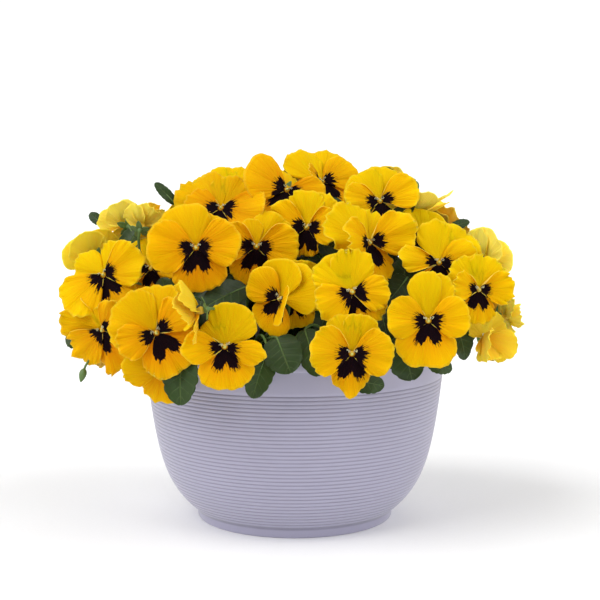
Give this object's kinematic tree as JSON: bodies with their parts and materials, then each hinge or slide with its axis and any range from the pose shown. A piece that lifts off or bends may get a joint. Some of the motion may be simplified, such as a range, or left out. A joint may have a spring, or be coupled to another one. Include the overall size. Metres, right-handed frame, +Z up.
{
  "type": "potted pansy planter",
  "caption": "Round ribbed plastic colour bowl planted with yellow pansies that spill over its rim, as a garden or patio decoration.",
  "frame": {"origin": "centre of the pot's underside, on the flat pad level with its foot ring", "axes": "+Z up along the pot's axis, -Y towards the viewer of the picture, +X to the picture's right"},
  "size_m": [0.4471, 0.4027, 0.3669],
  "materials": {
    "pot": "matt lavender-grey moulded plastic",
    "soil": "loose dark peat potting mix",
    "foliage": "dark green living leaves and stems",
    "petal": "velvety yellow petals with near-black blotches"
  },
  "bodies": {
    "root": {"pot": "pot", "soil": "soil", "plant_1": "foliage", "plant_2": "foliage", "plant_3": "foliage", "plant_4": "foliage", "plant_5": "foliage", "plant_6": "foliage", "bloom_01": "petal", "bloom_02": "petal", "bloom_03": "petal", "bloom_04": "petal", "bloom_05": "petal", "bloom_06": "petal", "bloom_07": "petal", "bloom_08": "petal", "bloom_09": "petal", "bloom_10": "petal", "bloom_11": "petal", "bloom_12": "petal", "bloom_13": "petal", "bloom_14": "petal", "bloom_15": "petal", "bloom_16": "petal", "bloom_17": "petal", "bloom_18": "petal", "bloom_19": "petal", "bloom_20": "petal", "bloom_21": "petal", "bloom_22": "petal", "bloom_23": "petal", "bloom_24": "petal", "bloom_25": "petal", "bloom_26": "petal", "bloom_27": "petal", "bloom_28": "petal", "bloom_29": "petal", "bloom_30": "petal", "bloom_31": "petal", "bloom_32": "petal", "bloom_33": "petal", "bloom_34": "petal", "bloom_35": "petal", "bloom_36": "petal", "bloom_37": "petal", "bloom_38": "petal", "bloom_39": "petal", "bloom_40": "petal", "bloom_41": "petal", "bloom_42": "petal"}
  },
  "joints": []
}
